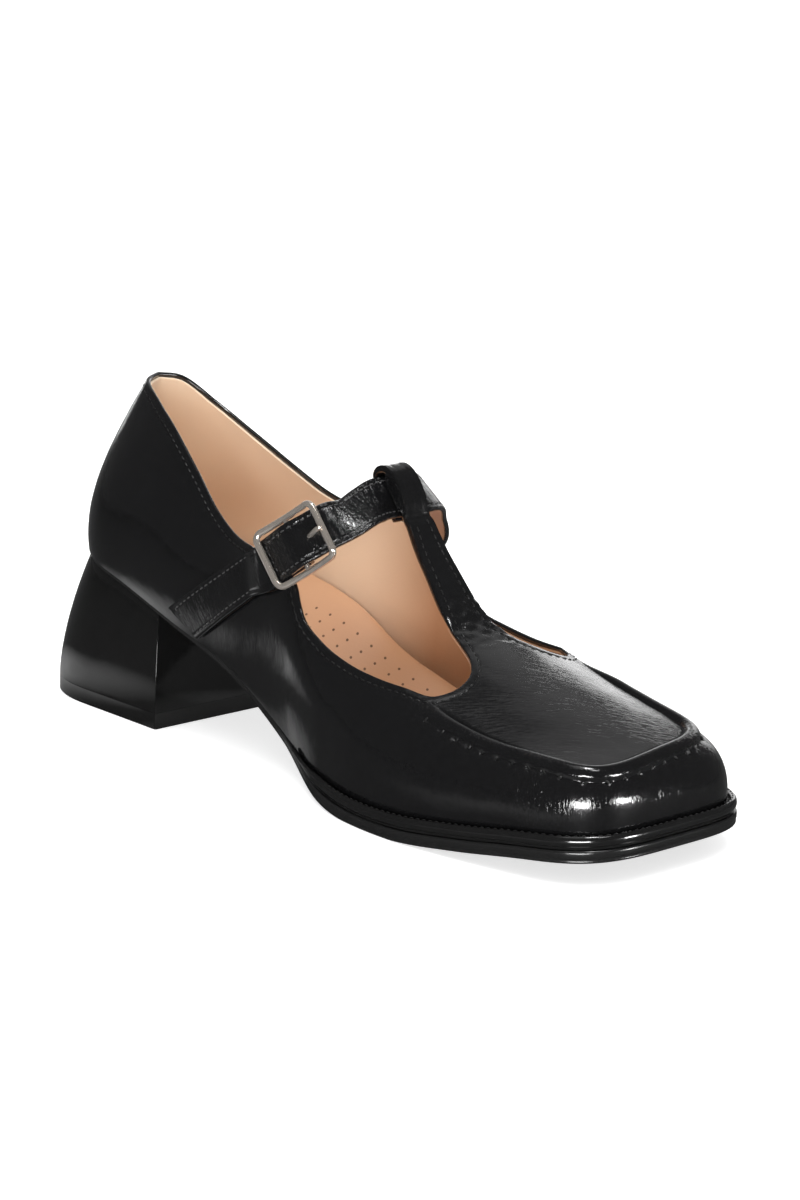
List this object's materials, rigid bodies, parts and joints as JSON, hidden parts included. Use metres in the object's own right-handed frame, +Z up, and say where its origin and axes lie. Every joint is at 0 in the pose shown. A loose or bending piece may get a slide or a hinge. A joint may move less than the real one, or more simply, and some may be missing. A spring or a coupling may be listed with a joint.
{
  "type": "t-bar pump shoe",
  "caption": "Right T-bar pump in black crinkled patent leather, with a moc-toe apron, a buckled ankle strap through the T-bar's loop, and a flared block heel",
  "frame": {"origin": "On the floor under the middle of the shoe's bounding box", "axes": "+X runs from the heel to the toe, +Y to the inner (medial) side of the foot, +Z up"},
  "size_m": [0.261, 0.09, 0.1032],
  "materials": {
    "patent_leather": "crinkled patent gloss",
    "strap_leather": "crinkled patent gloss",
    "welt_leather": "polished",
    "heel_gloss": "lacquered",
    "outsole_rubber": "satin",
    "lift_rubber": "satin",
    "insole_leather": "matt, tan",
    "buckle_metal": "polished nickel"
  },
  "bodies": {
    "root": {"outsole": "outsole_rubber", "welt": "welt_leather", "heel": "heel_gloss", "top_lift": "lift_rubber", "upper": "patent_leather", "insole": "insole_leather", "strap": "strap_leather", "chape": "strap_leather", "buckle_frame": "buckle_metal", "buckle_prong": "buckle_metal"}
  },
  "joints": []
}
